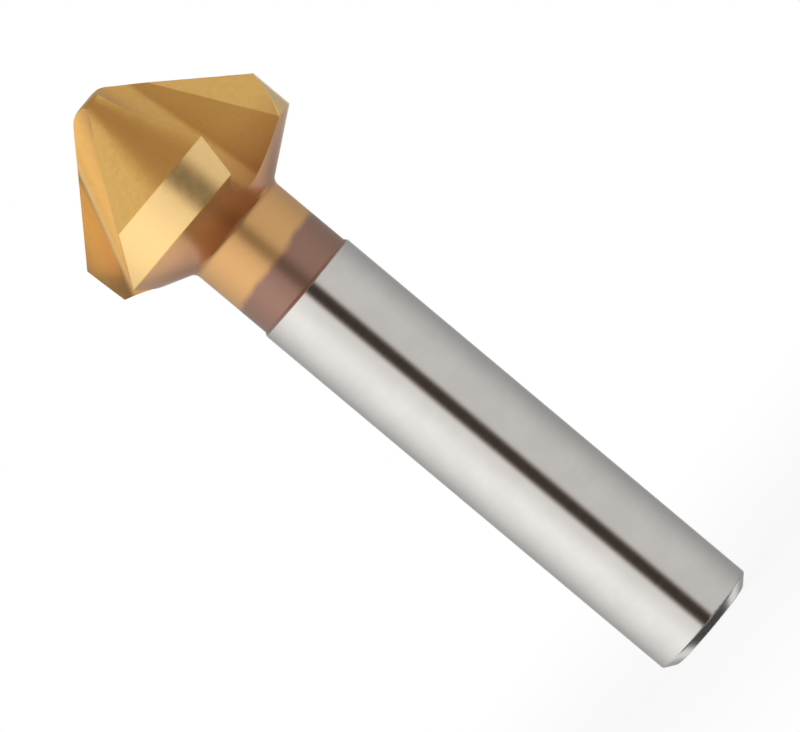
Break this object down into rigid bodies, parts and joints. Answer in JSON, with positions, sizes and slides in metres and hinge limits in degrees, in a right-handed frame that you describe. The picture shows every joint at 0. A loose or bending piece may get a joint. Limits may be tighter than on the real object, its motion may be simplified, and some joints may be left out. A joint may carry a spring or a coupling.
{
  "type": "countersink bit",
  "caption": "Straight-shank countersink bit: a conical cutting head with slanted flutes, a short cylindrical land and a slimmer neck, on a plain round shank.",
  "frame": {"origin": "centre of the shank's end face, on the tool's axis", "axes": "+Z along the tool's axis from the shank's end to the cutting tip; the tool stands on the shank's end face; the picture looks along +Y"},
  "size_m": [0.0204, 0.0204, 0.0642],
  "materials": {
    "tool_steel": "high-speed steel, shank cylindrically ground and bare, head coated gold with titanium nitride that fades to a brown heat tint at the neck"
  },
  "bodies": {
    "root": {"countersink_bit": "tool_steel"}
  },
  "joints": []
}
